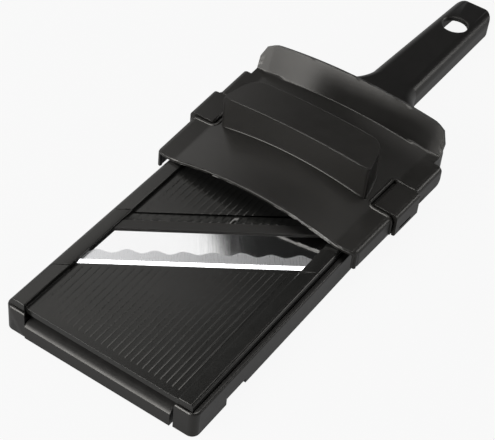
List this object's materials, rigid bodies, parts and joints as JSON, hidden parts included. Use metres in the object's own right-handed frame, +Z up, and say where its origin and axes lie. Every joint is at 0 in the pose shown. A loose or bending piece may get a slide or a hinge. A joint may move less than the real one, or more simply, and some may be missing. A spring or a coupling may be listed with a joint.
{
  "type": "mandoline slicer",
  "caption": "Hand-held vegetable slicer with a skewed blade, a lowering infeed plate set by a dial, a clipped finger guard on rails and a handle with a hanging hole.",
  "frame": {"origin": "centre of the footprint's bounding box, on the table plane", "axes": "+Y from the front edge to the tip of the handle, +Z up, +X to the right when looking from the front towards the handle; the tray is tipped by about one degree, front end down, as the slicer stands on its front foot and the tip of its handle"},
  "size_m": [0.1228, 0.3492, 0.0469],
  "materials": {
    "housing": "satin",
    "trim": "matte",
    "blade_steel": "polished",
    "screw_steel": "satin"
  },
  "bodies": {
    "base": {"frame": "housing", "handle": "housing", "front_foot_bar": "trim", "foot_bar_screws": "screw_steel", "dial_bridge": "trim", "bridge_screws": "screw_steel", "detent_ball": "screw_steel", "detent_spring": "screw_steel", "guide_pins": "screw_steel", "blade_carrier": "housing", "blade": "blade_steel", "blade_clamp": "trim", "blade_screws": "screw_steel", "carrier_screws": "screw_steel", "outfeed_plate": "housing", "outfeed_screws": "screw_steel"},
    "dial": {"thickness_dial": "housing", "dial_retainer": "screw_steel"},
    "infeed": {"infeed_plate": "housing"},
    "guard": {"guard_body": "housing", "food_pin_plate": "trim", "food_pins": "screw_steel", "pin_plate_screws": "screw_steel", "clip_pin_left": "screw_steel", "clip_pin_right": "screw_steel"},
    "clip_left": {"clip_left": "housing"},
    "clip_right": {"clip_right": "housing"}
  },
  "joints": [
    {"name": "guard_slide", "type": "slide", "parent": "base", "child": "guard", "axis": [0, 0.9998, 0.0187], "range_m": [-0.225, 0]},
    {"name": "clip_left_hinge", "type": "hinge", "parent": "guard", "child": "clip_left", "pos_m": [-0.05641, -0.01221, 0.02162], "axis": [0.0297, -0.9994, -0.0187], "range_deg": [0, 7]},
    {"name": "clip_right_hinge", "type": "hinge", "parent": "guard", "child": "clip_right", "pos_m": [0.05641, -0.01221, 0.02162], "axis": [0.0297, 0.9994, 0.0187], "range_deg": [0, 7]},
    {"name": "dial_turn", "type": "hinge", "parent": "base", "child": "dial", "pos_m": [0, -0.14793, 0.00248], "axis": [0, -0.0187, 0.9998], "range_deg": [0, 300]},
    {"name": "infeed_lift", "type": "slide", "parent": "base", "child": "infeed", "axis": [0, -0.0187, 0.9998], "range_m": [-0.002, 0]}
  ],
  "couplings": [
    {"joint": "dial_turn", "follows": "infeed_lift", "rad_per_m": -2618}
  ]
}
